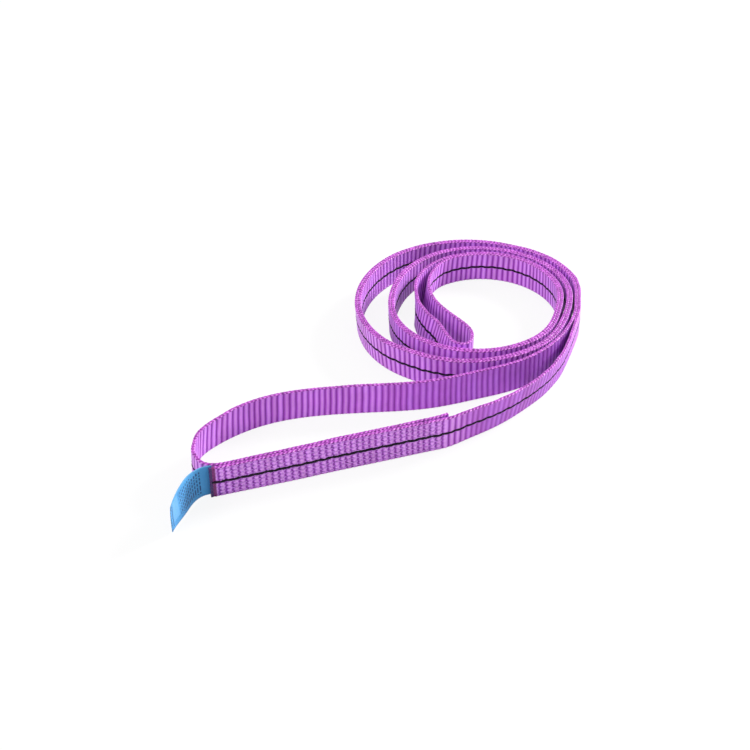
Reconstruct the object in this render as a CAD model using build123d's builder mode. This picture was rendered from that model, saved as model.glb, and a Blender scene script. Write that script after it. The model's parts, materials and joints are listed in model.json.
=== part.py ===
"""Flat web sling: an endless loop of webbing, closed by a sewn lap, laid up as a coil on its edge.

The two plies of the flattened loop are wound together, anticlockwise and inwards.  At the outer
end they part and run out as the tail, whose eye holds the sewn lap and the label.  At the inner
end they part round the inner bight.  All routes are drawn in the direction of the winding, so
the right of a route is the outside of the coil.  Millimetres, +Z up, with the origin on the
floor under the middle of the sling.
"""
from build123d import *
from math import cos, radians, sin
import os

os.makedirs("parts", exist_ok=True)

# ---- Webbing ------------------------------------------------------------------------------
web_width = 30.0          # the height of the sling, because the web stands on its edge
web_thickness = 2.8
ply_gap = 0.3             # between the two plies of the flattened loop

# ---- Coil ---------------------------------------------------------------------------------
coil_radius = 110.6       # coil centre to the middle of the two plies, at the start
coil_oval = 5.2           # how far the coil departs from a circle, each way
oval_heading = 68.0       # degrees, where the oval is longest
turn_gap = 2.5            # between one turn and the next, where they lie close
second_turn_drift = 23.0  # how far the second turn falls inwards on the loose side
second_turn_bend = 3.2    # how suddenly it does so
third_turn_drift = 10.5
third_turn_bend = 2.1
tail_press = 3.0          # how far the leaving tail pushes the turns inwards
tail_press_at = 342.0     # degrees, where it pushes most
tail_press_reach = 36.0   # degrees, to either side of that
tail_hinge_at = 20.0      # degrees of travel along the winding
bight_hinge_at = 816.0
bight_leaves_at = 870.0   # where the bight's outer leg turns in, away from the coil
turn_ends = (tail_hinge_at, 380.0, 740.0, bight_hinge_at)

# ---- Joints: each is a bend in the web, with a round end that turns in a hollow one -----------
knuckle_proud = 0.45      # the round end's radius beyond half the pair of plies
knuckle_gap = 0.3

# ---- Sewn lap -----------------------------------------------------------------------------
lap_length = 190.0
lap_heading = 18.1        # degrees, from the cut end towards the coil
rear_ply_short = 13.0     # where the rear ply starts to bend, from the front ply's cut end
eye_width = 67.0          # across the tail's eye at its closed end, from the lap to the back run
stitch_rows = 8
stitch_width = 0.9
stitch_height = 0.25      # how far the thread stands out of the web
stitch_margin = 2.0       # from the web's edges and from the lap's ends

# ---- Tracer yarn: a dark stripe along the middle of the loop's outer face --------------------
tracer_width = 1.8
tracer_height = 0.2
tracer_seat = 0.05        # clearance between the yarn and the face that it lies on

# ---- Label --------------------------------------------------------------------------------
label_thickness = 0.5
label_drop = 44.0         # how far the flap's tip lies in front of its hinge
label_inset = 1.0         # from the web's edges
label_seat = 0.05         # clearance between the label and each ply of the lap
label_tab_length = 40.0   # the end that is sewn into the lap
label_hinge_out = 2.0     # from the front ply's cut end
label_hinge_gap = 0.3     # between the sewn end and the round end of the flap

ply_offset = (web_thickness + ply_gap) / 2
pair_half = ply_offset + web_thickness / 2
turn_pitch = 2 * pair_half + turn_gap
knuckle_radius = pair_half + knuckle_proud
lap_pitch = web_thickness + label_thickness + 2 * label_seat


# ---- Routes -------------------------------------------------------------------------------
def coil_pair(travel):
    """The middle of the two plies, so many degrees along the winding."""
    angle = travel % 360
    loose = sin(radians(angle / 2))
    radius = coil_radius + coil_oval * cos(radians(2 * (angle - oval_heading)))
    radius -= turn_pitch * travel / 360
    if travel > 360:
        radius -= second_turn_drift * loose ** second_turn_bend
    if travel > 720:
        radius -= third_turn_drift * loose ** third_turn_bend
    from_press = abs((angle - tail_press_at + 180) % 360 - 180) / tail_press_reach
    if travel > tail_hinge_at and from_press < 1:
        radius -= tail_press * cos(radians(90 * from_press)) ** 2
    return Vector(radius * cos(radians(angle)), radius * sin(radians(angle)))


def coil_heading(travel):
    return (coil_pair(travel + 0.5) - coil_pair(travel - 0.5)).normalized()


def right_of(heading):
    return Vector(heading.Y, -heading.X)


def coil(travel, side):
    """A point of the winding, to the right (+) or left (-) of the middle of its two plies."""
    return coil_pair(travel) + right_of(coil_heading(travel)) * side


def beside(route):
    """A route as a function of the share of its length and the distance to its right."""
    def point(share, side):
        return route.position_at(share) + right_of(route.tangent_at(share)) * side
    return point


def draw_route(points, start, end):
    """For a BuildLine: a smooth curve that leaves and arrives along two headings."""
    return Spline(*points, tangents=[start, end], tangent_scalars=[1, 1])


tail_hinge = coil_pair(tail_hinge_at)
tail_heading = coil_heading(tail_hinge_at)
bight_hinge = coil_pair(bight_hinge_at)
bight_heading = coil_heading(bight_hinge_at)


def measured(start, size, shares):
    """Points measured from a start, in shares of a size."""
    return [start + Vector(share) * size for share in shares]


# The tail and the bight are drawn to the coil's size, and start from its ends.
[lap_start] = measured(tail_hinge, coil_radius, [(-1.2486, -2.1076)])
lap = Plane(lap_start, x_dir=Vector(1, 0).rotate(Axis.Z, lap_heading), z_dir=(0, 0, 1))
rear_ply_end = lap.from_local_coords(Vector(rear_ply_short - lap_length, lap_pitch))

parting = [
    (-0.0651, -0.6609), (-0.0235, -0.5344), (0.0045, -0.3969), (0.0190, -0.2694),
    (0.0235, -0.1429),
]
with BuildLine() as pair_route:
    draw_route(
        measured(tail_hinge, coil_radius, parting) + [tail_hinge],
        Vector(0.38, 0.925),
        tail_heading,
    )
paired = beside(pair_route.edge())
paired_shares = (0, 0.25, 0.5, 0.75)

front_bend = [
    (-1.0271, -1.9729), (-0.8689, -1.8644), (-0.7061, -1.7260), (-0.5344, -1.5452),
    (-0.3734, -1.3553), (-0.2577, -1.1772), (-0.1483, -0.9286),
]
with BuildLine() as front_route:
    draw_route(
        [lap_start]
        + measured(tail_hinge, coil_radius, front_bend)
        + [paired(share, ply_offset) for share in paired_shares]
        + [coil(tail_hinge_at, ply_offset)],
        lap.x_dir,
        tail_heading,
    )

# The closed end of the eye is measured from the lap, and the rest of the back run from the coil.
eye_bend = [
    (-0.2045, -0.0260), (-0.3717, 0.1337), (-0.4224, 0.3725), (-0.3881, 0.5964),
    (-0.2642, 0.7904), (-0.0553, 0.9994),
]
back_bend = [
    (-2.5325, -1.7911), (-2.0986, -1.6772), (-1.6917, -1.6383), (-1.2848, -1.5841),
    (-0.9231, -1.4638), (-0.5805, -1.3156), (-0.3499, -1.1248), (-0.1826, -0.8897),
]
with BuildLine() as back_route:
    draw_route(
        [rear_ply_end]
        + measured(rear_ply_end, eye_width, eye_bend)
        + measured(tail_hinge, coil_radius, back_bend)
        + [paired(share, -ply_offset) for share in paired_shares]
        + [coil(tail_hinge_at, -ply_offset)],
        -lap.x_dir,
        tail_heading,
    )
eye_bight_share = 0.26    # of the back route, from the lap round the end of the eye

bight_bend = [
    (-0.3770, -0.6347), (-0.3318, -0.9512), (-0.2324, -1.2043), (-0.1284, -1.4213),
    (-0.0063, -1.4665), (0.0678, -1.3400), (-0.0244, -1.0823), (-0.1781, -0.8382),
    (-0.2477, -0.6076), (-0.2233, -0.3183),
]
bight_leaves_coil = [bight_hinge_at, 825.0, 840.0, 855.0, bight_leaves_at]
with BuildLine() as bight_route:
    draw_route(
        [coil(travel, ply_offset) for travel in bight_leaves_coil]
        + measured(bight_hinge, coil_radius, bight_bend)
        + [coil(bight_hinge_at, -ply_offset)],
        bight_heading,
        -bight_heading,
    )
bight_turn_shares = (0.42, 0.62)   # of the bight's route, round its closed end

label_hinge = lap.from_local_coords(Vector(-lap_length - label_hinge_out, lap_pitch / 2))
label_bend = [(-0.1886, -0.1136), (-0.3773, -0.4500), (-0.5045, -1.0000)]
with BuildLine() as label_route:
    draw_route(
        [label_hinge] + measured(label_hinge, label_drop, label_bend),
        -lap.x_dir,
        Vector(-0.2, -0.98),
    )

front = beside(front_route.edge())
back = beside(back_route.edge())
bight = beside(bight_route.edge())
label = beside(label_route.edge())


# ---- Outlines ------------------------------------------------------------------------------
def spaced(start, end, arcs):
    """Stops along a path for so many arcs: the ends of each arc, and a point halfway."""
    return [start + (end - start) * step / (2 * arcs) for step in range(2 * arcs + 1)]


def draw_strip(path, stops, middle, width):
    """For a BuildLine: a strip of arcs along a path, with its middle so far to the right."""
    for side in (middle - width / 2, middle + width / 2):
        for first, through, last in zip(stops[::2], stops[1::2], stops[2::2]):
            ThreePointArc(path(first, side), path(through, side), path(last, side))
    for stop in (stops[0], stops[-1]):
        Line(path(stop, middle - width / 2), path(stop, middle + width / 2))


def draw_knuckle(side):
    """For a BuildSketch on a hinge's plane: the round end of one ply."""
    with Locations((0, side)):
        Rectangle(knuckle_radius, web_thickness, align=(Align.MIN, Align.CENTER))
    Circle(knuckle_radius, mode=Mode.INTERSECT)


tail_knuckle = Plane(tail_hinge, x_dir=tail_heading, z_dir=(0, 0, 1))
bight_knuckle = Plane(bight_hinge, x_dir=-bight_heading, z_dir=(0, 0, 1))
knuckle_seat = knuckle_radius + knuckle_gap
tracer_level = Plane.XY.offset((web_width - tracer_width) / 2)
tracer_offset = (web_thickness + tracer_height) / 2 + tracer_seat

# ---- Coil: three turns of two plies ---------------------------------------------------------
coil_arc = 30.0           # degrees of travel for each arc of the coil's outlines
turn_stops = [
    spaced(start, end, round((end - start) / coil_arc))
    for start, end in zip(turn_ends, turn_ends[1:])
]
coil_stops = turn_stops[0] + turn_stops[1][1:] + turn_stops[2][1:]
pieces = []
for turn, stops in enumerate(turn_stops, 1):
    for name, side in (("outer", ply_offset), ("inner", -ply_offset)):
        with BuildPart() as ply:
            with BuildSketch():
                with BuildLine():
                    draw_strip(coil, stops, side, web_thickness)
                make_face()
                with Locations(tail_hinge, bight_hinge):
                    Circle(knuckle_seat, mode=Mode.SUBTRACT)
            extrude(amount=web_width)
        ply.part.label = f"turn_{turn}_{name}_ply"
        pieces.append(ply.part)

for name, side in (("outer", ply_offset + tracer_offset), ("inner", -ply_offset - tracer_offset)):
    with BuildPart() as coil_tracer:
        with BuildSketch(tracer_level):
            with BuildLine():
                draw_strip(coil, coil_stops, side, tracer_height)
            make_face()
            with Locations(tail_hinge, bight_hinge):
                Circle(knuckle_seat, mode=Mode.SUBTRACT)
        extrude(amount=tracer_width)
    coil_tracer.part.label = f"coil_{name}_tracer"
    pieces.append(coil_tracer.part)

# ---- Tail: front run, lap and back run -----------------------------------------------------
front_stops = spaced(0, 1, 12)
eye_stops = spaced(0, eye_bight_share, 18)
back_stops = spaced(eye_bight_share, 1, 16)
eye_tracer_stops = eye_stops[6:]   # from where the tracer comes out from under the label

with BuildPart() as front_run:
    with BuildSketch():
        with BuildLine():
            draw_strip(front, front_stops, 0, web_thickness)
        make_face()
    extrude(amount=web_width)
    with BuildSketch(tail_knuckle):
        draw_knuckle(-ply_offset)
    extrude(amount=web_width)
front_run.part.label = "front_run"

with BuildPart() as front_run_tracer:
    with BuildSketch(tracer_level):
        with BuildLine():
            draw_strip(front, front_stops, tracer_offset, tracer_height)
        make_face()
    extrude(amount=tracer_width)
front_run_tracer.part.label = "front_run_tracer"

with BuildPart() as lap_front_ply:
    with BuildSketch(lap):
        Rectangle(lap_length, web_thickness, align=(Align.MAX, Align.CENTER))
    extrude(amount=web_width)
lap_front_ply.part.label = "lap_front_ply"

with BuildPart() as lap_rear_ply:
    with BuildSketch(lap):
        with Locations((0, lap_pitch)):
            Rectangle(
                lap_length - rear_ply_short, web_thickness, align=(Align.MAX, Align.CENTER)
            )
    extrude(amount=web_width)
lap_rear_ply.part.label = "lap_rear_ply"

with BuildPart() as eye_bight:
    with BuildSketch():
        with BuildLine():
            draw_strip(back, eye_stops, 0, web_thickness)
        make_face()
    extrude(amount=web_width)
eye_bight.part.label = "eye_bight"

with BuildPart() as back_run:
    with BuildSketch():
        with BuildLine():
            draw_strip(back, back_stops, 0, web_thickness)
        make_face()
    extrude(amount=web_width)
    with BuildSketch(tail_knuckle):
        draw_knuckle(ply_offset)
    extrude(amount=web_width)
back_run.part.label = "back_run"

with BuildPart() as back_run_tracer:
    with BuildSketch(tracer_level):
        with BuildLine():
            draw_strip(back, eye_tracer_stops + back_stops[1:], -tracer_offset, tracer_height)
        make_face()
    extrude(amount=tracer_width)
back_run_tracer.part.label = "back_run_tracer"

# The thread runs to and fro along the lap: parallel rows, joined at alternate ends.
stitch_length = lap_length - rear_ply_short - 2 * stitch_margin
stitch_pitch = (web_width - 2 * stitch_margin - stitch_width) / (stitch_rows - 1)
stitch_turns = [
    (
        (stitch_length - stitch_width) / 2 * (-1) ** row,
        (row - stitch_rows / 2 + 1) * stitch_pitch,
    )
    for row in range(stitch_rows - 1)
]
stitch_middle = -(lap_length - rear_ply_short) / 2
lap_tracer_length = stitch_length + stitch_margin - stitch_width - tracer_seat
front_face = (stitch_middle, -web_thickness / 2)
rear_face = (stitch_middle, lap_pitch + web_thickness / 2)
for name, (x, y), outward in (("front", front_face, -1), ("rear", rear_face, 1)):
    face = Plane(
        lap.from_local_coords(Vector(x, y, web_width / 2)),
        x_dir=lap.x_dir,
        z_dir=lap.y_dir * outward,
    )
    with BuildPart() as lap_stitching:
        with BuildSketch(face):
            with GridLocations(0, stitch_pitch, 1, stitch_rows):
                Rectangle(stitch_length, stitch_width)
            with Locations(*stitch_turns):
                Rectangle(stitch_width, stitch_pitch)
        extrude(amount=stitch_height)
    lap_stitching.part.label = f"lap_{name}_stitching"
    pieces.append(lap_stitching.part)

label_tab_start = -lap_length - label_hinge_out + label_thickness / 2 + label_hinge_gap
with BuildPart() as lap_tracer:
    with BuildSketch(lap.offset((web_width - tracer_width) / 2)):
        with Locations((0, -tracer_offset)):
            Rectangle(lap_tracer_length, tracer_height, align=(Align.MAX, Align.CENTER))
    extrude(amount=tracer_width)
lap_tracer.part.label = "lap_tracer"

with BuildPart() as label_tab:
    with BuildSketch(lap.offset(label_inset)):
        with Locations((label_tab_start, lap_pitch / 2)):
            Rectangle(label_tab_length, label_thickness, align=(Align.MIN, Align.CENTER))
    extrude(amount=web_width - 2 * label_inset)
label_tab.part.label = "label_tab"

# ---- Inner bight ---------------------------------------------------------------------------
turn_start, turn_end = bight_turn_shares
outer_leg_stops = spaced(0, turn_start, 10)
bight_turn_stops = spaced(turn_start, turn_end, 8)
inner_leg_stops = spaced(turn_end, 1, 8)
bight_stops = outer_leg_stops + bight_turn_stops[1:] + inner_leg_stops[1:]

with BuildPart() as bight_outer_leg:
    with BuildSketch():
        with BuildLine():
            draw_strip(bight, outer_leg_stops, 0, web_thickness)
        make_face()
    extrude(amount=web_width)
    with BuildSketch(bight_knuckle):
        draw_knuckle(ply_offset)
    extrude(amount=web_width)
bight_outer_leg.part.label = "bight_outer_leg"

with BuildPart() as bight_turn:
    with BuildSketch():
        with BuildLine():
            draw_strip(bight, bight_turn_stops, 0, web_thickness)
        make_face()
    extrude(amount=web_width)
bight_turn.part.label = "bight_turn"

with BuildPart() as bight_inner_leg:
    with BuildSketch():
        with BuildLine():
            draw_strip(bight, inner_leg_stops, 0, web_thickness)
        make_face()
    extrude(amount=web_width)
    with BuildSketch(bight_knuckle):
        draw_knuckle(-ply_offset)
    extrude(amount=web_width)
bight_inner_leg.part.label = "bight_inner_leg"

with BuildPart() as bight_tracer:
    with BuildSketch(tracer_level):
        with BuildLine():
            draw_strip(bight, bight_stops, tracer_offset, tracer_height)
        make_face()
    extrude(amount=tracer_width)
bight_tracer.part.label = "bight_tracer"

# ---- Label flap ----------------------------------------------------------------------------
with BuildPart() as label_flap:
    with BuildSketch(Plane.XY.offset(label_inset)):
        with BuildLine():
            draw_strip(label, spaced(0, 1, 5), 0, label_thickness)
        make_face()
        with Locations(label_hinge):
            Circle(label_thickness / 2)
    extrude(amount=web_width - 2 * label_inset)
label_flap.part.label = "label_flap"

# ---- The whole sling, moved so that the origin is on the floor under its middle --------------
tail = [front_run, front_run_tracer, lap_front_ply, lap_rear_ply, lap_tracer, eye_bight,
        back_run, back_run_tracer, label_tab]
inner_bight = [bight_outer_leg, bight_turn, bight_inner_leg, bight_tracer]
pieces += [piece.part for piece in tail + inner_bight + [label_flap]]
middle = Compound(pieces).bounding_box().center()
to_origin = Location((-middle.X, -middle.Y, 0))
for piece in pieces:
    export_step(piece.moved(to_origin), f"parts/{piece.label}.step")

for name, hinge in (("tail", tail_hinge), ("bight", bight_hinge), ("label", label_hinge)):
    place = to_origin * Pos(hinge)
    print(name, "hinge at", place.position)
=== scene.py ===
"""The look of a flat web sling: violet ribbed webbing on edge, wound into a coil with a free tail.

The routes are those of the solids.  Lengths in this script are millimetres until a mesh is made;
positions are measured from the coil's centre, which the frame's tail hinge gives.
"""

import bpy
import json
import numpy as np
from math import radians
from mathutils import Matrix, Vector


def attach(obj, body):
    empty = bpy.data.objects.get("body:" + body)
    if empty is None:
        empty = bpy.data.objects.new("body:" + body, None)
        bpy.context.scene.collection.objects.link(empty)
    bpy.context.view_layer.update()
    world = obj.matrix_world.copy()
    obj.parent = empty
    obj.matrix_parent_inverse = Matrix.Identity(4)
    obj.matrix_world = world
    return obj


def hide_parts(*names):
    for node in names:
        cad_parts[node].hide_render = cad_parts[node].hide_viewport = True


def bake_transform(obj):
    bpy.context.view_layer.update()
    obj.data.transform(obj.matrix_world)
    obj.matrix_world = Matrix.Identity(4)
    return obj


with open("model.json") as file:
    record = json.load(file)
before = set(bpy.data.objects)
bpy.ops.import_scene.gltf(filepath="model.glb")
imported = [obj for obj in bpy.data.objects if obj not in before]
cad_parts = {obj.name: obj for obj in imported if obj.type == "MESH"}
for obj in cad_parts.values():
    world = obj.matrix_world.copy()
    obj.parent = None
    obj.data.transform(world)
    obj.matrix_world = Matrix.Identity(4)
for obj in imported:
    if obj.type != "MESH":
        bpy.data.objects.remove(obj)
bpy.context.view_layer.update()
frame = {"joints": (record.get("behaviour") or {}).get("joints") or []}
MM = 0.001

# ---- Webbing: the sizes of the solids, and the weave -----------------------------------------
web_width = 30.0
web_thickness = 2.8
ply_gap = 0.3
turn_gap = 2.5
rib_pitch = 5.3          # from one cross rib to the next
rib_depth = 0.38
columns_per_rib = 10
selvedge_height = 1.3
tracer_width = 2.5
stripe_start = 1.8       # from the cut end
stripe_gap = 16.0        # from the stripe's other end to the rear ply's cut end
plain_row, sewn_row = 2.3, 0.5      # from one row of a face's points to the next
calm_crest = 0.4         # what a rib's crest and groove come to where they are pulled flat
ply_offset = (web_thickness + ply_gap) / 2
turn_pitch = 2 * (ply_offset + web_thickness / 2) + turn_gap

# ---- Coil --------------------------------------------------------------------------------
coil_radius = 110.6
coil_oval = 5.2
oval_heading = 68.0
second_turn_drift, second_turn_bend = 23.0, 3.2
third_turn_drift, third_turn_bend = 10.5, 2.1
tail_press, tail_press_at, tail_press_reach = 3.0, 342.0, 36.0
tail_hinge_at = 20.0
bight_hinge_at = 816.0
bight_leaves_at = 870.0
seam_past_hinge = 24.0   # degrees of travel from a hinge to where the coil's own pieces begin


def smooth_steps(values, at):
    """Values between given knots, eased from each to the next."""
    knots, heights = np.array(values, float).T
    index = np.clip(np.searchsorted(knots, at) - 1, 0, len(knots) - 2)
    share = np.clip((at - knots[index]) / (knots[index + 1] - knots[index]), 0, 1)
    share = share * share * (3 - 2 * share)
    return heights[index] * (1 - share) + heights[index + 1] * share


def coil_pair(travel):
    """The middle of the two plies, so many degrees along the winding."""
    travel = np.atleast_1d(np.asarray(travel, float))
    angle = travel % 360
    loose = np.sin(np.radians(angle / 2))
    radius = coil_radius + coil_oval * np.cos(np.radians(2 * (angle - oval_heading)))
    radius -= turn_pitch * travel / 360
    radius -= (travel > 360) * second_turn_drift * loose**second_turn_bend
    radius -= (travel > 720) * third_turn_drift * loose**third_turn_bend
    from_press = np.abs((angle - tail_press_at + 180) % 360 - 180) / tail_press_reach
    pressed = (travel > tail_hinge_at) & (from_press < 1)
    radius -= pressed * tail_press * np.cos(np.radians(90 * np.minimum(from_press, 1))) ** 2
    turned = np.radians(angle)
    return np.stack([radius * np.cos(turned), radius * np.sin(turned)], 1)


def right_of(heading):
    return np.stack([heading[..., 1], -heading[..., 0]], -1)


def coil_heading(travel):
    step = coil_pair(np.asarray(travel) + 0.5) - coil_pair(np.asarray(travel) - 0.5)
    return step / np.linalg.norm(step, axis=1)[:, None]


def coil_line(start, end, side):
    travel = np.linspace(start, end, max(3, int(abs(end - start) * 2)))
    return coil_pair(travel) + right_of(coil_heading(travel)) * side


def route(points, start, end, count=1200):
    """Clamped cubic spline through points, its knots spaced by the chords between them."""
    points = np.array(points, float)
    chord = np.linalg.norm(np.diff(points, axis=0), axis=1)
    knots = np.concatenate([[0], np.cumsum(chord)])
    size = len(points)
    matrix = np.zeros((size, size))
    wanted = np.zeros((size, 2))
    matrix[0, 0] = matrix[-1, -1] = 1
    wanted[0] = np.array(start) / np.linalg.norm(start)
    wanted[-1] = np.array(end) / np.linalg.norm(end)
    for i in range(1, size - 1):
        before, after = chord[i - 1], chord[i]
        matrix[i, i - 1 : i + 2] = after, 2 * (before + after), before
        wanted[i] = 3 * (
            after * (points[i] - points[i - 1]) / before
            + before * (points[i + 1] - points[i]) / after
        )
    slopes = np.linalg.solve(matrix, wanted)
    at = np.linspace(0, knots[-1], count)
    index = np.clip(np.searchsorted(knots, at) - 1, 0, size - 2)
    width = chord[index][:, None]
    share = ((at - knots[index]) / chord[index])[:, None]
    return (
        points[index] * (1 + 2 * share) * (1 - share) ** 2
        + slopes[index] * width * share * (1 - share) ** 2
        + points[index + 1] * share**2 * (3 - 2 * share)
        + slopes[index + 1] * width * share**2 * (share - 1)
    )


def distances(line):
    return np.concatenate([[0], np.cumsum(np.linalg.norm(np.diff(line, axis=0), axis=1))])


def even(line, spacing):
    """The line with its points spaced evenly."""
    at = distances(line)
    places = np.linspace(0, at[-1], max(2, int(round(at[-1] / spacing)) + 1))
    return np.stack([np.interp(places, at, line[:, k]) for k in (0, 1)], 1)


# ---- Routes, from the coil's centre --------------------------------------------------------
tail_hinge = coil_pair(tail_hinge_at)[0]
tail_heading = coil_heading([tail_hinge_at])[0]
bight_hinge = coil_pair(bight_hinge_at)[0]
bight_heading = coil_heading([bight_hinge_at])[0]
joints = {joint["name"]: joint for joint in frame["joints"]}
coil_centre = np.array(joints["tail_swing"]["pos_m"][:2]) / MM - tail_hinge

lap_length = 190.0
lap_heading = 18.1
rear_ply_short = 13.0
stitch_rows = 8
stitch_width = 0.9
stitch_margin = 2.0
stitch_pitch = (web_width - 2 * stitch_margin - stitch_width) / (stitch_rows - 1)
stitch_step = 3.7        # from one stitch of a row to the next
stitch_share = 0.86      # of a step, between the two ends of one stitch
thread_radius, thread_seat = 0.42, 0.16
sewn_half_width = 13.6   # of the face that the stitches pull in, from its middle
sewn_fade = 7.0          # at the end of the sewn stretch
sealed_length = 5.2      # of the front ply's cut end, melted to a smooth dark strip
lap_over = 6.0           # of the sewn stretch, past the solids' lap
label_thickness = 0.5
label_drop = 44.0
eye_width = 67.0
label_seat = 0.05
lap_pitch = web_thickness + label_thickness + 2 * label_seat
lap_end = np.array([-1.2486, -2.1076])       # from the tail's hinge, in coil radii
lap_start = tail_hinge + lap_end * coil_radius
lap_along = np.array([np.cos(radians(lap_heading)), np.sin(radians(lap_heading))])
lap_back = -right_of(lap_along)


def on_lap(along, back):
    """A point of the lap, from its coil end and from the middle of its front ply."""
    return lap_start + lap_along * along + lap_back * back


def off(start, size, shares):
    """Points measured from a start, in shares of a size."""
    return [start + np.array(share) * size for share in shares]


parting = [
    (-0.0651, -0.6609), (-0.0235, -0.5344), (0.0045, -0.3969), (0.0190, -0.2694),
    (0.0235, -0.1429),
]
pair_route = route(
    off(tail_hinge, coil_radius, parting) + [tail_hinge], (0.38, 0.925), tail_heading
)


def paired(side):
    """The stretch of the pair's route that both runs follow, moved to one side."""
    heading = np.gradient(pair_route, axis=0)
    heading /= np.linalg.norm(heading, axis=1)[:, None]
    moved = pair_route + right_of(heading) * side
    return [moved[int(share * (len(moved) - 1))] for share in (0, 0.25, 0.5, 0.75)]


front_bend = [
    (-1.0271, -1.9729), (-0.8689, -1.8644), (-0.7061, -1.7260), (-0.5344, -1.5452),
    (-0.3734, -1.3553), (-0.2577, -1.1772), (-0.1483, -0.9286),
]
front_route = route(
    [lap_start]
    + off(tail_hinge, coil_radius, front_bend)
    + paired(ply_offset)
    + [coil_line(tail_hinge_at, tail_hinge_at, ply_offset)[0]],
    lap_along,
    tail_heading,
)
eye_bend = [
    (-0.2045, -0.0260), (-0.3717, 0.1337), (-0.4224, 0.3725), (-0.3881, 0.5964),
    (-0.2642, 0.7904), (-0.0553, 0.9994),
]
back_bend = [
    (-2.5325, -1.7911), (-2.0986, -1.6772), (-1.6917, -1.6383), (-1.2848, -1.5841),
    (-0.9231, -1.4638), (-0.5805, -1.3156), (-0.3499, -1.1248), (-0.1826, -0.8897),
]
rear_ply_end = on_lap(rear_ply_short - lap_length, lap_pitch)
back_route = route(
    [rear_ply_end]
    + off(rear_ply_end, eye_width, eye_bend)
    + off(tail_hinge, coil_radius, back_bend)
    + paired(-ply_offset)
    + [coil_line(tail_hinge_at, tail_hinge_at, -ply_offset)[0]],
    -lap_along,
    tail_heading,
)
bight_bend = [
    (-0.3770, -0.6347), (-0.3318, -0.9512), (-0.2324, -1.2043), (-0.1284, -1.4213),
    (-0.0063, -1.4665), (0.0678, -1.3400), (-0.0244, -1.0823), (-0.1781, -0.8382),
    (-0.2477, -0.6076), (-0.2233, -0.3183),
]
bight_route = route(
    [coil_line(at, at, ply_offset)[0] for at in (bight_hinge_at, 825, 840, 855, bight_leaves_at)]
    + off(bight_hinge, coil_radius, bight_bend)
    + [coil_line(bight_hinge_at, bight_hinge_at, -ply_offset)[0]],
    bight_heading,
    -bight_heading,
)
label_hinge_out = 2.0
label_tab_length = 40.0
label_inset = 1.0
label_bulge, label_lean = 2.3, -2.6     # of the flap's top: outwards halfway, and inwards at its end
label_slant = 4.0                       # its end isn't cut quite square
label_hinge = on_lap(-lap_length - label_hinge_out, lap_pitch / 2)
label_bend = [(-0.17, -0.135), (-0.318, -0.491), (-0.487, -0.985)]
label_route = route(
    [label_hinge] + off(label_hinge, label_drop, label_bend), -lap_along, (-0.2, -0.98)
)


# ---- The whole loop as one line: front ply, winding in, round the bight, winding out, rear ply ----
def stretch(points, tops, feet=((0, 0.0), (1, 0.0))):
    """Points with how far the web's top and foot stand to the right of them, by shares of the way."""
    share = distances(points) / distances(points)[-1]
    return np.column_stack([points, smooth_steps(tops, share), smooth_steps(feet, share)])


def wound(start, end, side):
    """A stretch of the coil; shifts and leans are given outwards, by degrees of travel."""
    points = coil_line(start, end, side)
    travel = np.linspace(start, end, len(points))
    points += right_of(coil_heading(travel)) * smooth_steps(coil_shifts, travel)[:, None]
    outwards = smooth_steps(coil_leans, travel)
    return np.column_stack([points, outwards if side > 0 else -outwards, 0 * travel])


def behind(points, back):
    """Points moved to the left of the way they go."""
    heading = np.gradient(points, axis=0)
    return points - right_of(heading / np.linalg.norm(heading, axis=1)[:, None]) * back


coil_leans = [
    (0, -1.0), (20, 1.2), (40, 1.4), (50, 0.2), (64, -2.0), (80, -1.7), (100, -0.9), (115, 0.2),
    (130, 1.3), (175, 1.2), (195, 2.8), (222, 2.8), (240, 0.3), (300, 0.0), (335, -1.2),
    (365, -1.4), (390, -1.4), (430, -1.6), (470, -0.5), (520, 0.7), (560, 1.3), (610, 0.5),
    (680, 0.0), (715, -1.6), (740, -2.0), (780, -0.8), (870, 0.0),
]
coil_shifts = [(0, 0.0), (172, 0.0), (200, -1.5), (235, -1.5), (262, 0.0), (870, 0.0)]
lap_leans = [
    (0.0, 2.6), (0.1, 2.4), (0.25, 1.4), (0.4, 0.5), (0.53, -0.7), (0.77, -1.3), (1.0, -1.5),
]
front_leans = [
    (0.0, -1.5), (0.06, -0.3), (0.12, 1.0), (0.2, 3.0), (0.27, 5.0), (0.35, 6.4), (0.42, 5.8),
    (0.5, 3.7), (0.6, 2.1), (0.66, 1.2), (0.75, 0.0), (0.85, -1.2), (0.94, -0.2), (1.0, 1.2),
]
rear_ply_onward = slice(0, 46, 3)       # the front run's first points, which the rear ply follows
lap_feet = [(0.0, 0.9), (0.3, 0.9), (0.6, 0.0), (1.0, -0.7)]
front_feet = [(0.0, -0.7), (0.15, 0.0), (0.4, 1.4), (0.5, 0.5), (0.6, 0.0), (1.0, 0.0)]
bight_leans = [
    (0.0, 0.0), (0.14, 0.0), (0.2, -0.6), (0.27, -1.6), (0.33, -4.0), (0.39, -6.6), (0.45, -6.4),
    (0.5, -2.5), (0.54, 0.0), (1.0, 0.0),
]
bight_feet = [
    (0.0, 0.0), (0.08, -2.6), (0.14, -5.0), (0.2, -4.4), (0.28, 0.4), (0.38, 1.6), (0.47, 0.0),
    (0.7, 0.0), (0.78, -3.6), (0.86, -4.6), (0.93, -2.6), (1.0, 0.0),
]
back_leans = [
    (0.0, -1.2), (0.03, 0.2), (0.08, 1.2), (0.14, 0.0), (0.3, 0.6), (0.53, -0.6), (0.6, -0.6),
    (0.64, -1.4), (0.77, -1.2), (0.8, -1.6), (0.84, -3.4), (0.87, -3.6), (0.91, -2.6),
    (0.94, -1.0), (1.0, 2.5),
]
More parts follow.
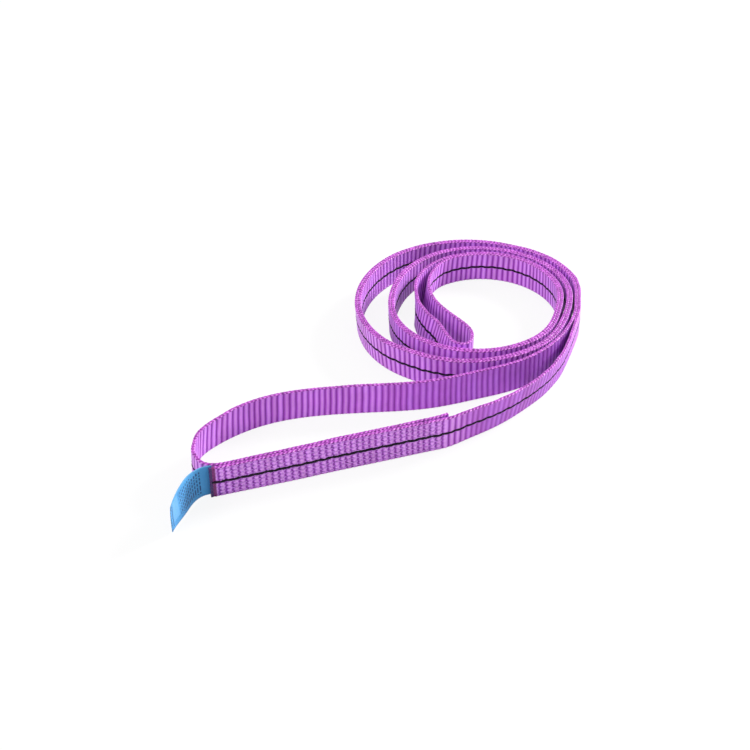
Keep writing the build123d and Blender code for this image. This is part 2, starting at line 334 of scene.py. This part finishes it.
rear_leans = [
    (0.0, 2.5), (0.2, 1.4), (0.35, 0.6), (0.5, -0.8), (0.75, -1.4), (0.88, -2.2), (1.0, -3.0),
]

parts = {
    "lap_front": stretch(
        on_lap(np.linspace(-lap_length, 0, 60)[:, None], 0), lap_leans, lap_feet
    ),
    "front": stretch(front_route, front_leans, front_feet),
    "outer": wound(tail_hinge_at, bight_hinge_at, ply_offset),
    "bight": stretch(bight_route, bight_leans, bight_feet),
    "inner": wound(bight_hinge_at, tail_hinge_at, -ply_offset),
    "back": stretch(back_route[::-1], back_leans),
    "lap_rear": stretch(
        np.vstack([
            on_lap(np.linspace(rear_ply_short - lap_length, 0, 60)[:, None], lap_pitch),
            behind(front_route[rear_ply_onward], lap_pitch)[1:],
        ]),
        rear_leans,
    ),
}
loop = np.vstack([part if not k else part[1:] for k, part in enumerate(parts.values())])
reach = np.cumsum([distances(part)[-1] for part in (p[:, :2] for p in parts.values())])
starts = dict(zip(parts, np.concatenate([[0], reach[:-1]])))
ends = dict(zip(parts, reach))
column = rib_pitch / columns_per_rib
loop_at = distances(loop[:, :2])
stops = np.arange(0, loop_at[-1], column)
loop = np.stack([np.interp(stops, loop_at, loop[:, k]) for k in range(4)], 1)


# ---- Web meshes ----------------------------------------------------------------------------
def rib_phase(along, height):
    """Whole numbers on the crests of the cross ribs, which are a little uneven and not quite square."""
    drift = 0.2 * np.sin(along / 23.0) + 0.12 * np.sin(along / 9.7 + 1.3)
    lean = 0.04 * (height - web_width / 2) * np.sin(along / 61.0)
    bow = 0.1 * np.sin(height / 4.1 + along / 37.0)
    return (along + lean + bow) / rib_pitch + drift


def ridge(phase):
    """1 on a rib's crest and 0 in the groove between two."""
    return np.abs(np.cos(np.pi * phase)) ** 0.85


def heading_of(line):
    heading = np.gradient(line, axis=0)
    return heading / np.linalg.norm(heading, axis=1)[:, None]


def solid_of(name, rings, values):
    """A closed mesh from rings of points, in millimetres from the coil's centre, with flat ends."""
    columns, around = rings.shape[:2]
    rows = np.arange(columns - 1)[:, None] * around
    near = np.arange(around)[None, :]
    far = (near + 1) % around
    quads = np.stack([rows + near, rows + far, rows + around + far, rows + around + near], -1)
    faces = quads.reshape(-1, 4).tolist()
    faces.append(list(range(around - 1, -1, -1)))
    faces.append(list(range((columns - 1) * around, columns * around)))
    smooth = np.ones(len(faces), bool)
    smooth[-2:] = False
    points = rings + np.append(coil_centre, 0.0)
    mesh = bpy.data.meshes.new(name)
    mesh.from_pydata((points.reshape(-1, 3) * MM).tolist(), [], faces)
    mesh.polygons.foreach_set("use_smooth", smooth)
    for key, value in values.items():
        layer = mesh.attributes.new(key, "FLOAT", "POINT")
        full = np.broadcast_to(value, rings.shape[:2]).astype(np.float32)
        layer.data.foreach_set("value", full.ravel())
    mesh.update()
    piece = bpy.data.objects.new(name, mesh)
    bpy.context.scene.collection.objects.link(piece)
    return piece


def part_of_loop(start, end):
    """The loop's columns from one distance to another: points, headings, tilts and distances."""
    first, last = int(round(start / column)), min(int(round(end / column)), len(stops) - 1)
    chosen = slice(first, last + 1)
    return loop[chosen, :2], loop_heading[chosen], loop[chosen, None, 2:], stops[chosen]


def tilted(tilt, up):
    """How far the web stands to the right of its line at a height, from its top and its foot."""
    return tilt[..., 1] + (tilt[..., 0] - tilt[..., 1]) * up / web_width


def web(name, start, end, row_step, sewn):
    """A length of the webbing on edge: ribbed faces, corded edges.  sewn is the side with stitching."""
    line, heading, tilt, along = part_of_loop(start, end)
    right = right_of(heading)
    low, high = selvedge_height, web_width - selvedge_height
    rows = np.linspace(low, high, int(round((high - low) / row_step)) + 1)
    cord = [(1.0, 0.7), (0.9, 0.25), (0.62, 0.02), (0.3, 0.06), (0.0, 0.16)]
    cord += [(-side, sink) for side, sink in cord[-2::-1]]
    section = [(1, height, 0) for height in rows]
    section += [(side, web_width - sink, 1) for side, sink in cord]
    section += [(-1, height, 0) for height in rows[::-1]]
    section += [(-side, sink, 1) for side, sink in cord]
    side, height, edge = np.array(section, float).T
    far = along[:, None]
    top = np.where(height > web_width / 2, 1, -1)
    phase = rib_phase(far, height) + np.where(side > 0, 0, 0.5) * (1 - edge)
    if sewn:
        sway = 0.08 * np.cos(2 * np.pi * (height - web_width / 2) / stitch_pitch)
        phase = phase + sway * (1 - edge) * np.clip((end - far) / sewn_fade, 0, 1)
    # The corded edges' beads: how high each lifts, and where the material paints highlight on them and
    # shade between them and along the edge's middle.
    beads = 1.5 * rib_phase(far, height) + 0.2 * (side > 0) + 0.35 * np.abs(side)
    beads = (0.5 + 0.5 * np.cos(2 * np.pi * beads)) * (0.3 + 0.7 * np.abs(side) ** 0.8)
    beads = beads * (0.82 + 0.18 * np.sin(2.3 * far + 4 * side) * np.sin(0.77 * far))
    rib = ridge(phase)
    calm = smooth_steps(calm_ribs, far)
    crest = np.where(edge > 0, beads, rib + (calm_crest - rib) * calm)
    inset = rib_depth * (1 - rib) * (1 - 0.6 * calm) * (1 - edge)
    sealed, sunk, crest_highlight = (np.zeros_like(phase) for _ in range(3))
    if sewn:
        from_middle = height - web_width / 2
        row_gap = np.abs(from_middle / stitch_pitch % 1 - 0.5) * stitch_pitch
        on_face = (side * sewn > 0.9) * (1 - edge) * (np.abs(from_middle) < sewn_half_width)
        on_face = on_face * np.clip((end - far) / sewn_fade, 0, 1)
        row = np.round(height / 3.6)
        pulled = 0.6 + 0.4 * np.cos(2 * np.pi * (far / stitch_step + row * 0.5))
        cell = np.floor(far / stitch_step + 0.5 * row) * 78.233
        uneven = np.modf(np.abs(np.sin(cell + row * 12.9898)) * 43758.5)[0]
        # How far the stitches pull the face in; the material also paints shade into these dimples.
        sunk = np.exp(-((row_gap / 0.9) ** 2)) * pulled * on_face * (0.35 + 0.85 * uneven)
        inset = inset + 0.5 * sunk
        # Where the material paints a highlight: the rib crests between the stitch rows.
        crest_highlight = rib**2 * (1 - np.exp(-((row_gap / 1.1) ** 2))) * on_face
    if start == 0:
        sealed = np.clip((sealed_length - far) / 0.9, 0, 1)
        inset = inset * (1 - 0.92 * sealed) + 0.25 * sealed * (1 - edge)
    half = web_thickness / 2 * np.abs(side) - inset
    offset = np.sign(side) * half * (1 + edge * 0.06 * (crest - 0.6))
    ragged = 0.16 * np.sin(3.7 * far) * np.sin(1.31 * far + 2.0) - 0.16
    lifted = edge * top * (0.2 * (crest - 1) + 0.26 * (rib - 1) + ragged)
    up = np.clip(height + lifted, 0.02, web_width)
    offset = offset + tilted(tilt, up)
    flat = line[:, None, :] + right[:, None, :] * offset[..., None]
    rings = np.concatenate([flat, np.broadcast_to(up, offset.shape)[..., None]], 2)
    tone = np.modf(np.abs(np.sin(np.round(phase) * 12.9898)) * 43.7585)[0]
    return solid_of(name, rings, {
        "crest": crest, "edge": edge, "tone": tone, "along": far, "height": height,
        "sealed": sealed, "sunk": sunk, "crest_highlight": crest_highlight, "turned": np.round(phase) % 2,
    })


def tracer(name, start, end):
    """The dark yarn on the loop's outer face: it floats over each rib, and dips into the grooves."""
    line, heading, tilt, along = part_of_loop(start, end)
    right = right_of(heading)
    across, proud = np.array([(-1, -0.3), (-0.8, 0.1), (0, 0.2), (0.8, 0.1), (1, -0.3)]).T
    far = along[:, None]
    wander = 0.3 * np.sin(2 * np.pi * far / (2 * rib_pitch)) + 0.14 * np.sin(far / 3.1)
    swell = 1 + 0.13 * np.cos(2 * np.pi * far / rib_pitch)
    height = web_width / 2 + wander + tracer_width / 2 * swell * across
    phase = rib_phase(far, height)
    face = web_thickness / 2 - 0.7 * rib_depth * (1 - ridge(phase))
    offset = face + proud + tilted(tilt, height)
    flat = line[:, None, :] + right[:, None, :] * offset[..., None]
    rings = np.concatenate([flat, height[..., None]], 2)
    return solid_of(name, rings, {"along": far, "height": height, "crest": ridge(phase)})


def stitching(name, start, length, side):
    """Rows of stitches on one face of the lap, each stitch sunk at its ends."""
    sides, knots = 6, np.linspace(-1, 1, 7)
    turn = np.linspace(0, 2 * np.pi, sides + 1)[:-1]
    points, faces = [], []
    for row in range(stitch_rows):
        height = web_width / 2 + (row - (stitch_rows - 1) / 2) * stitch_pitch
        first = start + stitch_margin + (row % 2) * stitch_step / 2
        for at in np.arange(first, start + length - stitch_margin - stitch_step, stitch_step):
            middles = at + (knots + 1) / 2 * stitch_step * stitch_share
            where = np.clip((middles / column).astype(int), 0, len(stops) - 1)
            share = (middles / column - where)[:, None]
            after = np.clip(where + 1, 0, len(stops) - 1)
            line = loop[where] * (1 - share) + loop[after] * share
            right = right_of(loop_heading[where])
            sunk = thread_radius * np.abs(knots) ** 3
            thick = thread_radius * (1 - 0.5 * knots**2)
            up = height + 0.12 * np.sin(at * 7.1 + row) + thick[:, None] * np.sin(turn)
            lean = tilted(line[:, None, 2:], up)
            proud = thick[:, None] * np.cos(turn) - sunk[:, None] - thread_seat
            out = side * (web_thickness / 2 + proud)
            flat = line[:, None, :2] + right[:, None, :] * (out + lean)[..., None]
            ring = np.concatenate([flat, up[..., None]], 2).reshape(-1, 3)
            base = len(points) * len(ring)
            last = base + (len(knots) - 1) * sides
            for first_of_ring in range(base, last, sides):
                for j in range(sides):
                    here, there = first_of_ring + j, first_of_ring + (j + 1) % sides
                    quad = [here, there, there + sides, here + sides]
                    faces.append(quad if side < 0 else quad[::-1])
            ends = [list(range(base + sides - 1, base - 1, -1)), list(range(last, last + sides))]
            faces += ends if side < 0 else [end[::-1] for end in ends]
            points.append(ring)
    places = np.vstack(points) + np.append(coil_centre, 0.0)
    mesh = bpy.data.meshes.new(name)
    mesh.from_pydata((places * MM).tolist(), [], faces)
    mesh.shade_smooth()
    piece = bpy.data.objects.new(name, mesh)
    bpy.context.scene.collection.objects.link(piece)
    return piece


loop_heading = heading_of(loop[:, :2])
front_way, back_way = ends["front"] - starts["front"], ends["back"] - starts["back"]
calm_ribs = [       # how far the cross ribs are pulled flat, and their painted highlight and shade evened out, by distance along the loop
    (0, -0.3), (starts["front"], -0.2), (starts["front"] + 0.16 * front_way, 0.6),
    (starts["front"] + 0.5 * front_way, 0.6), (starts["front"] + 0.7 * front_way, 0.1),
    (starts["outer"], -0.12), (starts["back"] + 0.04 * back_way, 0.0),
    (starts["back"] + 0.15 * back_way, 0.35), (starts["back"] + 0.5 * back_way, 0.25),
    (starts["back"] + 0.62 * back_way, 0.0), (starts["lap_rear"], -0.2), (reach[-1], -0.2),
]
loop_length = stops[-1]


def coil_way(start, end, side):
    return distances(coil_line(start, end, side))[-1]


into_coil = starts["outer"] + coil_way(tail_hinge_at, tail_hinge_at + seam_past_hinge, ply_offset)
into_bight = ends["outer"] - coil_way(bight_hinge_at - seam_past_hinge, bight_hinge_at, ply_offset)
out_of_bight = starts["inner"] + coil_way(
    bight_hinge_at, bight_hinge_at - seam_past_hinge, -ply_offset
)
out_of_coil = ends["inner"] - coil_way(tail_hinge_at + seam_past_hinge, tail_hinge_at, -ply_offset)
lap_out = ends["lap_front"] + lap_over
lap_in = starts["lap_rear"]


# ---- Materials -----------------------------------------------------------------------------
class Nodes:
    """Short names for the nodes of one material."""

    def __init__(self, name):
        self.material = bpy.data.materials.new(name)
        self.material.use_nodes = True
        self.nodes = self.material.node_tree.nodes
        self.links = self.material.node_tree.links
        self.shader = self.nodes["Principled BSDF"]

    def put(self, value, socket):
        if isinstance(value, bpy.types.NodeSocket):
            self.links.new(value, socket)
        else:
            socket.default_value = value

    def attribute(self, name):
        node = self.nodes.new("ShaderNodeAttribute")
        node.attribute_name = name
        return node.outputs["Fac"]

    def math(self, kind, a, b=0.0):
        node = self.nodes.new("ShaderNodeMath")
        node.operation = kind
        self.put(a, node.inputs[0])
        self.put(b, node.inputs[1])
        return node.outputs[0]

    def wave(self, value):
        """1 at each whole step of the value, and 0 halfway between."""
        turned = self.math("MULTIPLY", value, 2 * np.pi)
        return self.math("MULTIPLY", self.math("ADD", self.math("COSINE", turned), 1.0), 0.5)

    def between(self, value, low, high):
        """1 where the value lies between two others, and 0 elsewhere."""
        return self.math(
            "MULTIPLY", self.math("GREATER_THAN", value, low), self.math("LESS_THAN", value, high)
        )

    def mix(self, share, a, b, kind="MIX"):
        node = self.nodes.new("ShaderNodeMix")
        node.data_type = "RGBA"
        node.blend_type = kind
        node.clamp_factor = True
        self.put(share, node.inputs[0])
        self.put(a, node.inputs[6])
        self.put(b, node.inputs[7])
        return node.outputs[2]

    def ramp(self, value, stops):
        node = self.nodes.new("ShaderNodeValToRGB")
        node.color_ramp.interpolation = "EASE"
        while len(node.color_ramp.elements) < len(stops):
            node.color_ramp.elements.new(0.5)
        for element, (place, colour) in zip(node.color_ramp.elements, stops):
            element.position = place
            element.color = (*colour, 1)
        self.put(value, node.inputs[0])
        return node.outputs[0]

    def noise(self, scale, detail=2.0):
        where = self.nodes.new("ShaderNodeTexCoord")
        node = self.nodes.new("ShaderNodeTexNoise")
        node.inputs["Scale"].default_value = scale
        node.inputs["Detail"].default_value = detail
        node.inputs["Roughness"].default_value = 0.6
        self.links.new(where.outputs["Object"], node.inputs["Vector"])
        return node.outputs["Fac"]

    def bump(self, height, distance):
        node = self.nodes.new("ShaderNodeBump")
        node.inputs["Strength"].default_value = 1.0
        node.inputs["Distance"].default_value = distance
        self.put(height, node.inputs["Height"])
        self.links.new(node.outputs[0], self.shader.inputs["Normal"])

    def finish(self, colour, roughness, sheen=0.0, specular=0.35):
        self.put(colour, self.shader.inputs["Base Color"])
        self.put(roughness, self.shader.inputs["Roughness"])
        self.shader.inputs["Sheen Weight"].default_value = sheen
        self.shader.inputs["Sheen Roughness"].default_value = 0.35
        self.shader.inputs["Sheen Tint"].default_value = (1.0, 0.72, 1.0, 1)
        self.shader.inputs["Specular IOR Level"].default_value = specular
        return self.material


def web_material():
    """Violet polyester with painted highlight on the rib crests and painted shade in the grooves, fine
    warp yarns side by side over each rib.
    """
    m = Nodes("violet_webbing")
    crest, edge = m.attribute("crest"), m.attribute("edge")
    yarn_number = m.math("DIVIDE", m.attribute("height"), 0.95)
    half_step = m.math("MULTIPLY", m.attribute("turned"), 0.5)
    yarn = m.wave(m.math("ADD", yarn_number, half_step))
    patches = m.noise(90.0, 3.0)
    fibres = m.noise(2600.0, 2.0)
    # Colour by rib height: painted shade in the grooves, painted highlight on the crests, over the
    # mesh's own relief.
    face = m.ramp(crest, [
        (0.0, (0.19, 0.013, 0.27)), (0.4, (0.43, 0.058, 0.56)), (0.72, (0.66, 0.165, 0.85)),
        (1.0, (0.88, 0.34, 1.0)),
    ])
    # The corded edges likewise: painted highlight on the beads and painted shade between them and along
    # the middle, made uneven at random.
    uneven = m.math("MULTIPLY", m.math("SUBTRACT", m.noise(420.0, 3.0), 0.48), 1.1)
    cord = m.ramp(m.math("ADD", crest, uneven), [
        (0.0, (0.19, 0.012, 0.24)), (0.35, (0.48, 0.065, 0.55)), (0.6, (0.74, 0.21, 0.8)),
        (1.0, (0.94, 0.5, 0.97)),
    ])
    # A random tint towards lilac, by rib, with the same painted highlight on the crests and painted
    # shade in the grooves.
    tints = m.noise(38.0, 2.0)
    lilac = m.math("MULTIPLY", m.math("MULTIPLY", m.attribute("tone"), tints), 0.7)
    face = m.mix(lilac, face, m.ramp(crest, [
        (0.0, (0.13, 0.03, 0.3)), (0.5, (0.36, 0.13, 0.66)), (1.0, (0.74, 0.4, 1.0)),
    ]))
    # Painted shade in the gaps between the warp yarns.
    between = m.math("MULTIPLY", m.math("SUBTRACT", 1.0, yarn), 0.24)
    face = m.mix(between, face, (0.3, 0.045, 0.5, 1))
    # Painted shade in the dimples that the stitches pull into the lap's face.
    face = m.mix(m.math("MULTIPLY", m.attribute("sunk"), 0.9), face, (0.11, 0.008, 0.21, 1))
    # Painted highlight on the rib crests between the stitch rows.
    face = m.mix(m.math("MULTIPLY", m.attribute("crest_highlight"), 0.25), face, (0.92, 0.5, 1.0, 1))
    colour = m.mix(edge, face, cord)
    shade = m.math("ADD", 0.86, m.math("MULTIPLY", m.attribute("tone"), 0.2))
    shade = m.math("ADD", shade, m.math("MULTIPLY", m.math("SUBTRACT", patches, 0.5), 0.3))
    shade = m.math("ADD", shade, m.math("MULTIPLY", m.math("SUBTRACT", fibres, 0.5), 0.35))
    grey = m.nodes.new("ShaderNodeCombineColor")
    for socket in grey.inputs[:3]:
        m.links.new(shade, socket)
    colour = m.mix(1.0, colour, grey.outputs[0], "MULTIPLY")
    # The sealed end's colour: plum, and darker and bluer over its first 2.2 mm.
    melted = m.mix(
        m.math("LESS_THAN", m.attribute("along"), 2.2), (0.18, 0.006, 0.14, 1), (0.045, 0.003, 0.12, 1)
    )
    colour = m.mix(m.attribute("sealed"), colour, melted)
    roughness = m.math("SUBTRACT", 0.56, m.math("MULTIPLY", crest, 0.2))
    roughness = m.math("SUBTRACT", roughness, m.math("MULTIPLY", m.attribute("sealed"), 0.2))
    relief = m.math("ADD", m.math("MULTIPLY", yarn, 0.75), m.math("MULTIPLY", fibres, 0.3))
    m.bump(relief, 0.00022)
    return m.finish(colour, roughness, sheen=0.1, specular=0.4)


def tracer_material():
    m = Nodes("black_tracer_yarn")
    strand = m.math("DIVIDE", m.attribute("along"), 1.5)
    slant = m.math("MULTIPLY", m.attribute("height"), 0.5)
    twist = m.wave(m.math("ADD", strand, slant))
    fibres = m.noise(2200.0, 2.0)
    colour = m.mix(m.math("MULTIPLY", twist, 0.6), (0.004, 0.001, 0.006, 1), (0.013, 0.003, 0.019, 1))
    colour = m.mix(m.math("MULTIPLY", fibres, 0.25), colour, (0.03, 0.008, 0.045, 1))
    m.bump(m.math("ADD", twist, m.math("MULTIPLY", fibres, 0.4)), 0.00018)
    return m.finish(colour, m.math("ADD", 0.62, m.math("MULTIPLY", fibres, 0.2)), specular=0.2)


def thread_material():
    m = Nodes("violet_thread")
    fibres = m.noise(3000.0, 2.0)
    # The web's violet made paler, as a painted highlight on the stitches, mottled at random by the
    # fibres.
    colour = m.mix(fibres, (0.4, 0.1, 0.6, 1), (0.82, 0.42, 0.98, 1))
    m.bump(fibres, 0.0001)
    return m.finish(colour, m.math("ADD", 0.5, m.math("MULTIPLY", fibres, 0.2)), 0.15)


def label_material():
    """Blue woven tape, with printed rules and dashes that say nothing."""
    m = Nodes("blue_label_tape")
    along, height = m.attribute("along"), m.attribute("height")
    weave = m.math(
        "MULTIPLY", m.wave(m.math("DIVIDE", along, 0.5)), m.wave(m.math("DIVIDE", height, 0.5))
    )
    fibres = m.noise(1800.0, 2.0)
    patches = m.noise(70.0, 2.0)
    base = m.mix(patches, (0.05, 0.29, 0.64, 1), (0.09, 0.41, 0.78, 1))
    base = m.mix(m.math("MULTIPLY", weave, 0.25), base, (0.2, 0.52, 0.82, 1))
    base = m.mix(m.math("MULTIPLY", fibres, 0.2), base, (0.03, 0.2, 0.5, 1))
    row = m.math("DIVIDE", m.math("SUBTRACT", along, 5.0), 2.5)
    on_row = m.math("LESS_THAN", m.math("FRACT", row), 0.5)
    number = m.math("FLOOR", row)
    place = m.math("ADD", m.math("MULTIPLY", height, 0.8), m.math("MULTIPLY", number, 0.61))
    beat = m.math("SINE", m.math("MULTIPLY", m.math("FLOOR", place), 2.3))
    ticks = m.math("MULTIPLY", on_row, m.math("GREATER_THAN", beat, -0.45))
    ticks = m.math("MULTIPLY", ticks, m.between(height, 4.5, 25.5))
    ticks = m.math("MULTIPLY", ticks, m.between(along, 5.0, 33.0))
    rules = m.math("MULTIPLY", m.between(along, 45.5, 46.3), m.between(height, 4.0, 26.0))
    spots = m.math("GREATER_THAN", m.noise(420.0, 3.0), 0.52)
    worn = m.math("MULTIPLY", m.between(along, 47.0, 60.0), spots)
    printed = m.math("MAXIMUM", m.math("MAXIMUM", ticks, rules), m.math("MULTIPLY", worn, 0.6))
    # Paler over a patch near the flap's end.
    paler_patch = m.math("MULTIPLY", m.between(along, 35.0, 44.5), m.between(height, 7.0, 27.0))
    base = m.mix(m.math("MULTIPLY", paler_patch, 0.3), base, (0.3, 0.62, 0.9, 1))
    colour = m.mix(m.math("MULTIPLY", printed, 0.85), base, (0.008, 0.03, 0.13, 1))
    from_foot, from_top = m.math("SUBTRACT", height, 1.0), m.math("SUBTRACT", 29.0, height)
    hem = m.math("LESS_THAN", m.math("MINIMUM", from_foot, from_top), 0.7)
    colour = m.mix(m.math("MULTIPLY", hem, 0.35), colour, (0.25, 0.56, 0.85, 1))
    m.bump(m.math("ADD", weave, m.math("MULTIPLY", fibres, 0.4)), 0.00008)
    return m.finish(colour, m.math("ADD", 0.5, m.math("MULTIPLY", fibres, 0.15)), 0.1)


def floor_material():
    """Pale ground; what looks at it straight sees it nearly white, with the object's soft shadow."""
    m = Nodes("pale_floor")
    grain = m.noise(14.0, 4.0)
    colour = m.mix(grain, (0.94, 0.94, 0.94, 1), (0.96, 0.96, 0.96, 1))
    floor_look = m.finish(colour, m.math("ADD", 0.85, m.math("MULTIPLY", grain, 0.1)))
    ray = m.nodes.new("ShaderNodeLightPath")
    seen = m.math("MAXIMUM", ray.outputs["Is Camera Ray"], ray.outputs["Is Glossy Ray"])
    white = m.nodes.new("ShaderNodeEmission")
    both = m.nodes.new("ShaderNodeMixShader")
    m.put(m.math("MULTIPLY", seen, 0.88), both.inputs[0])
    m.links.new(m.shader.outputs[0], both.inputs[1])
    m.links.new(white.outputs[0], both.inputs[2])
    m.links.new(both.outputs[0], m.nodes["Material Output"].inputs["Surface"])
    return floor_look


violet, black = web_material(), tracer_material()
thread, blue = thread_material(), label_material()

# ---- Floor, before what rests on it ----------------------------------------------------------
floor_mesh = bpy.data.meshes.new("floor")
half, drop = 6.0, 0.0005       # metres; it lies a little below the web's edges
corners = [(-half, -half), (half, -half), (half, half), (-half, half)]
floor_mesh.from_pydata([(x, y, -drop) for x, y in corners], [], [(0, 1, 2, 3)])
floor = bpy.data.objects.new("floor", floor_mesh)
bpy.context.scene.collection.objects.link(floor)
floor_mesh.materials.append(floor_material())


def dress(piece, material, nodes, body=None, joint=None):
    """The piece's finish, the solids that it stands for, and the body that moves it; a piece with a
    joint is only baked in place.
    """
    piece.data.materials.append(material)
    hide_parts(*nodes)
    if joint:
        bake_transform(piece)
    else:
        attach(piece, body)


web_pieces = [
    ("lap_front", 0, lap_out, ["lap_front_ply"], "tail", None, sewn_row, 1),
    ("front_run_web", lap_out, into_coil, ["front_run"], None, "tail", plain_row, 0),
    ("coil_outer_web", into_coil, into_bight,
     ["turn_1_outer_ply", "turn_2_outer_ply", "turn_3_outer_ply"], "coil", None, plain_row, 0),
    ("inner_bight_web", into_bight, out_of_bight,
     ["bight_outer_leg", "bight_turn", "bight_inner_leg"], None, "bight", plain_row, 0),
    ("coil_inner_web", out_of_bight, out_of_coil,
     ["turn_1_inner_ply", "turn_2_inner_ply", "turn_3_inner_ply"], "coil", None, plain_row, 0),
    ("back_run_web", out_of_coil, lap_in, ["back_run", "eye_bight"], None, "tail", plain_row, 0),
    ("lap_rear", lap_in, loop_length, ["lap_rear_ply"], "tail", None, sewn_row, -1),
]
for name, start, end, nodes, body, joint, row_step, sewn in web_pieces:
    piece = web(name, start, end, row_step, sewn)
    dress(piece, violet, nodes, body, joint)

for name, start, end, nodes, body, joint in [
    ("lap_stripe", stripe_start, lap_out, ["lap_tracer"], "tail", None),
    ("front_run_stripe", lap_out, into_coil, ["front_run_tracer"], None, "tail"),
    ("coil_outer_stripe", into_coil, into_bight, ["coil_outer_tracer"], "coil", None),
    ("inner_bight_stripe", into_bight, out_of_bight, ["bight_tracer"], None, "bight"),
    ("coil_inner_stripe", out_of_bight, out_of_coil, ["coil_inner_tracer"], "coil", None),
    ("back_run_stripe", out_of_coil, lap_in - stripe_gap, ["back_run_tracer"], None, "tail"),
]:
    dress(tracer(name, start, end), black, nodes, body, joint)

lap_sewn = lap_length - rear_ply_short + lap_over
dress(stitching("front_stitching", lap_out - lap_sewn, lap_sewn, 1), thread,
      ["lap_front_stitching"], "tail")
dress(stitching("rear_stitching", lap_in, lap_sewn, -1), thread,
      ["lap_rear_stitching"], "tail")


def label_tape():
    """The label and its length: a tab between the plies of the lap, a flap past the cut end."""
    rows = 22
    flap = even(label_route, 0.8)
    tab_start = on_lap(label_tab_length - lap_length - label_hinge_out, lap_pitch / 2)
    tab = even(np.array([tab_start, label_hinge]), 2.0)
    path = np.vstack([tab[:-1], flap])
    heading = heading_of(path)
    along = (distances(path) - distances(tab)[-1])[:, None]
    tape_width = web_width - 2 * label_inset
    heights = np.linspace(label_inset, label_inset + tape_width, rows)
    side = np.repeat([1.0, -1.0], rows)
    up = np.concatenate([heights, heights[::-1]])
    out_share = np.clip(along / distances(flap)[-1], 0, 1)
    up_share = (up - label_inset) / tape_width
    curl = 0.4 * np.cos(np.pi * (up - web_width / 2) / tape_width) - 0.2
    top = label_bulge * np.sin(np.pi * out_share) ** 2 + label_lean * out_share**2
    out = side * label_thickness / 2 + top * up_share + out_share**2 * curl
    onward = out_share**2 * label_slant * up_share
    flat = path[:, None, :] + right_of(heading)[:, None, :] * out[..., None]
    flat = flat + heading[:, None, :] * onward[..., None]
    rings = np.concatenate([flat, np.broadcast_to(up, out.shape)[..., None]], 2)
    return solid_of("label_tape", rings, {"along": along, "height": up}), distances(path)[-1]


label, label_length = label_tape()
dress(label, blue, ["label_flap", "label_tab"], None, "label")

# ---- Light, plain and soft -------------------------------------------------------------------
world = bpy.data.worlds.new("studio")
world.use_nodes = True
sky = world.node_tree.nodes["Background"]
sky.inputs["Color"].default_value = (1, 1, 1, 1)
ray = world.node_tree.nodes.new("ShaderNodeLightPath")
level = world.node_tree.nodes.new("ShaderNodeMapRange")
level.inputs["To Min"].default_value = 0.62
level.inputs["To Max"].default_value = 1.0
world.node_tree.links.new(ray.outputs["Is Camera Ray"], level.inputs["Value"])
world.node_tree.links.new(level.outputs["Result"], sky.inputs["Strength"])
bpy.context.scene.world = world
for name, place, power, size in [
    ("left_softbox", (-1.3, -0.8, 0.9), 10.0, 0.7),
    ("right_softbox", (1.35, 0.9, 0.85), 45.0, 0.5),
    ("rear_softbox", (-0.3, 1.3, 1.3), 5.0, 1.0),
]:
    lamp = bpy.data.lights.new(name, "AREA")
    lamp.energy = power
    lamp.size = size
    light = bpy.data.objects.new(name, lamp)
    bpy.context.scene.collection.objects.link(light)
    light.location = place
    aim = Vector((0, 0, 0.015)) - Vector(place)
    light.rotation_euler = aim.to_track_quat("-Z", "Y").to_euler()

# ---- Camera, where the photograph was taken from ----------------------------------------------
picture_middle = np.array([-88.0, -88.0])
looked_at = Vector((*((coil_centre + picture_middle) * MM), 0.0))
camera_distance, camera_height = 1.05, radians(34.5)
lens = bpy.data.cameras.new("camera")
lens.sensor_width = 36.0
lens.lens = 56.304
camera = bpy.data.objects.new("camera", lens)
bpy.context.scene.collection.objects.link(camera)
camera.location = looked_at + camera_distance * Vector(
    (0, -np.cos(camera_height), np.sin(camera_height))
)
camera.rotation_euler = (looked_at - camera.location).to_track_quat("-Z", "Y").to_euler()
bpy.context.scene.camera = camera
bpy.context.scene.view_settings.view_transform = "Standard"
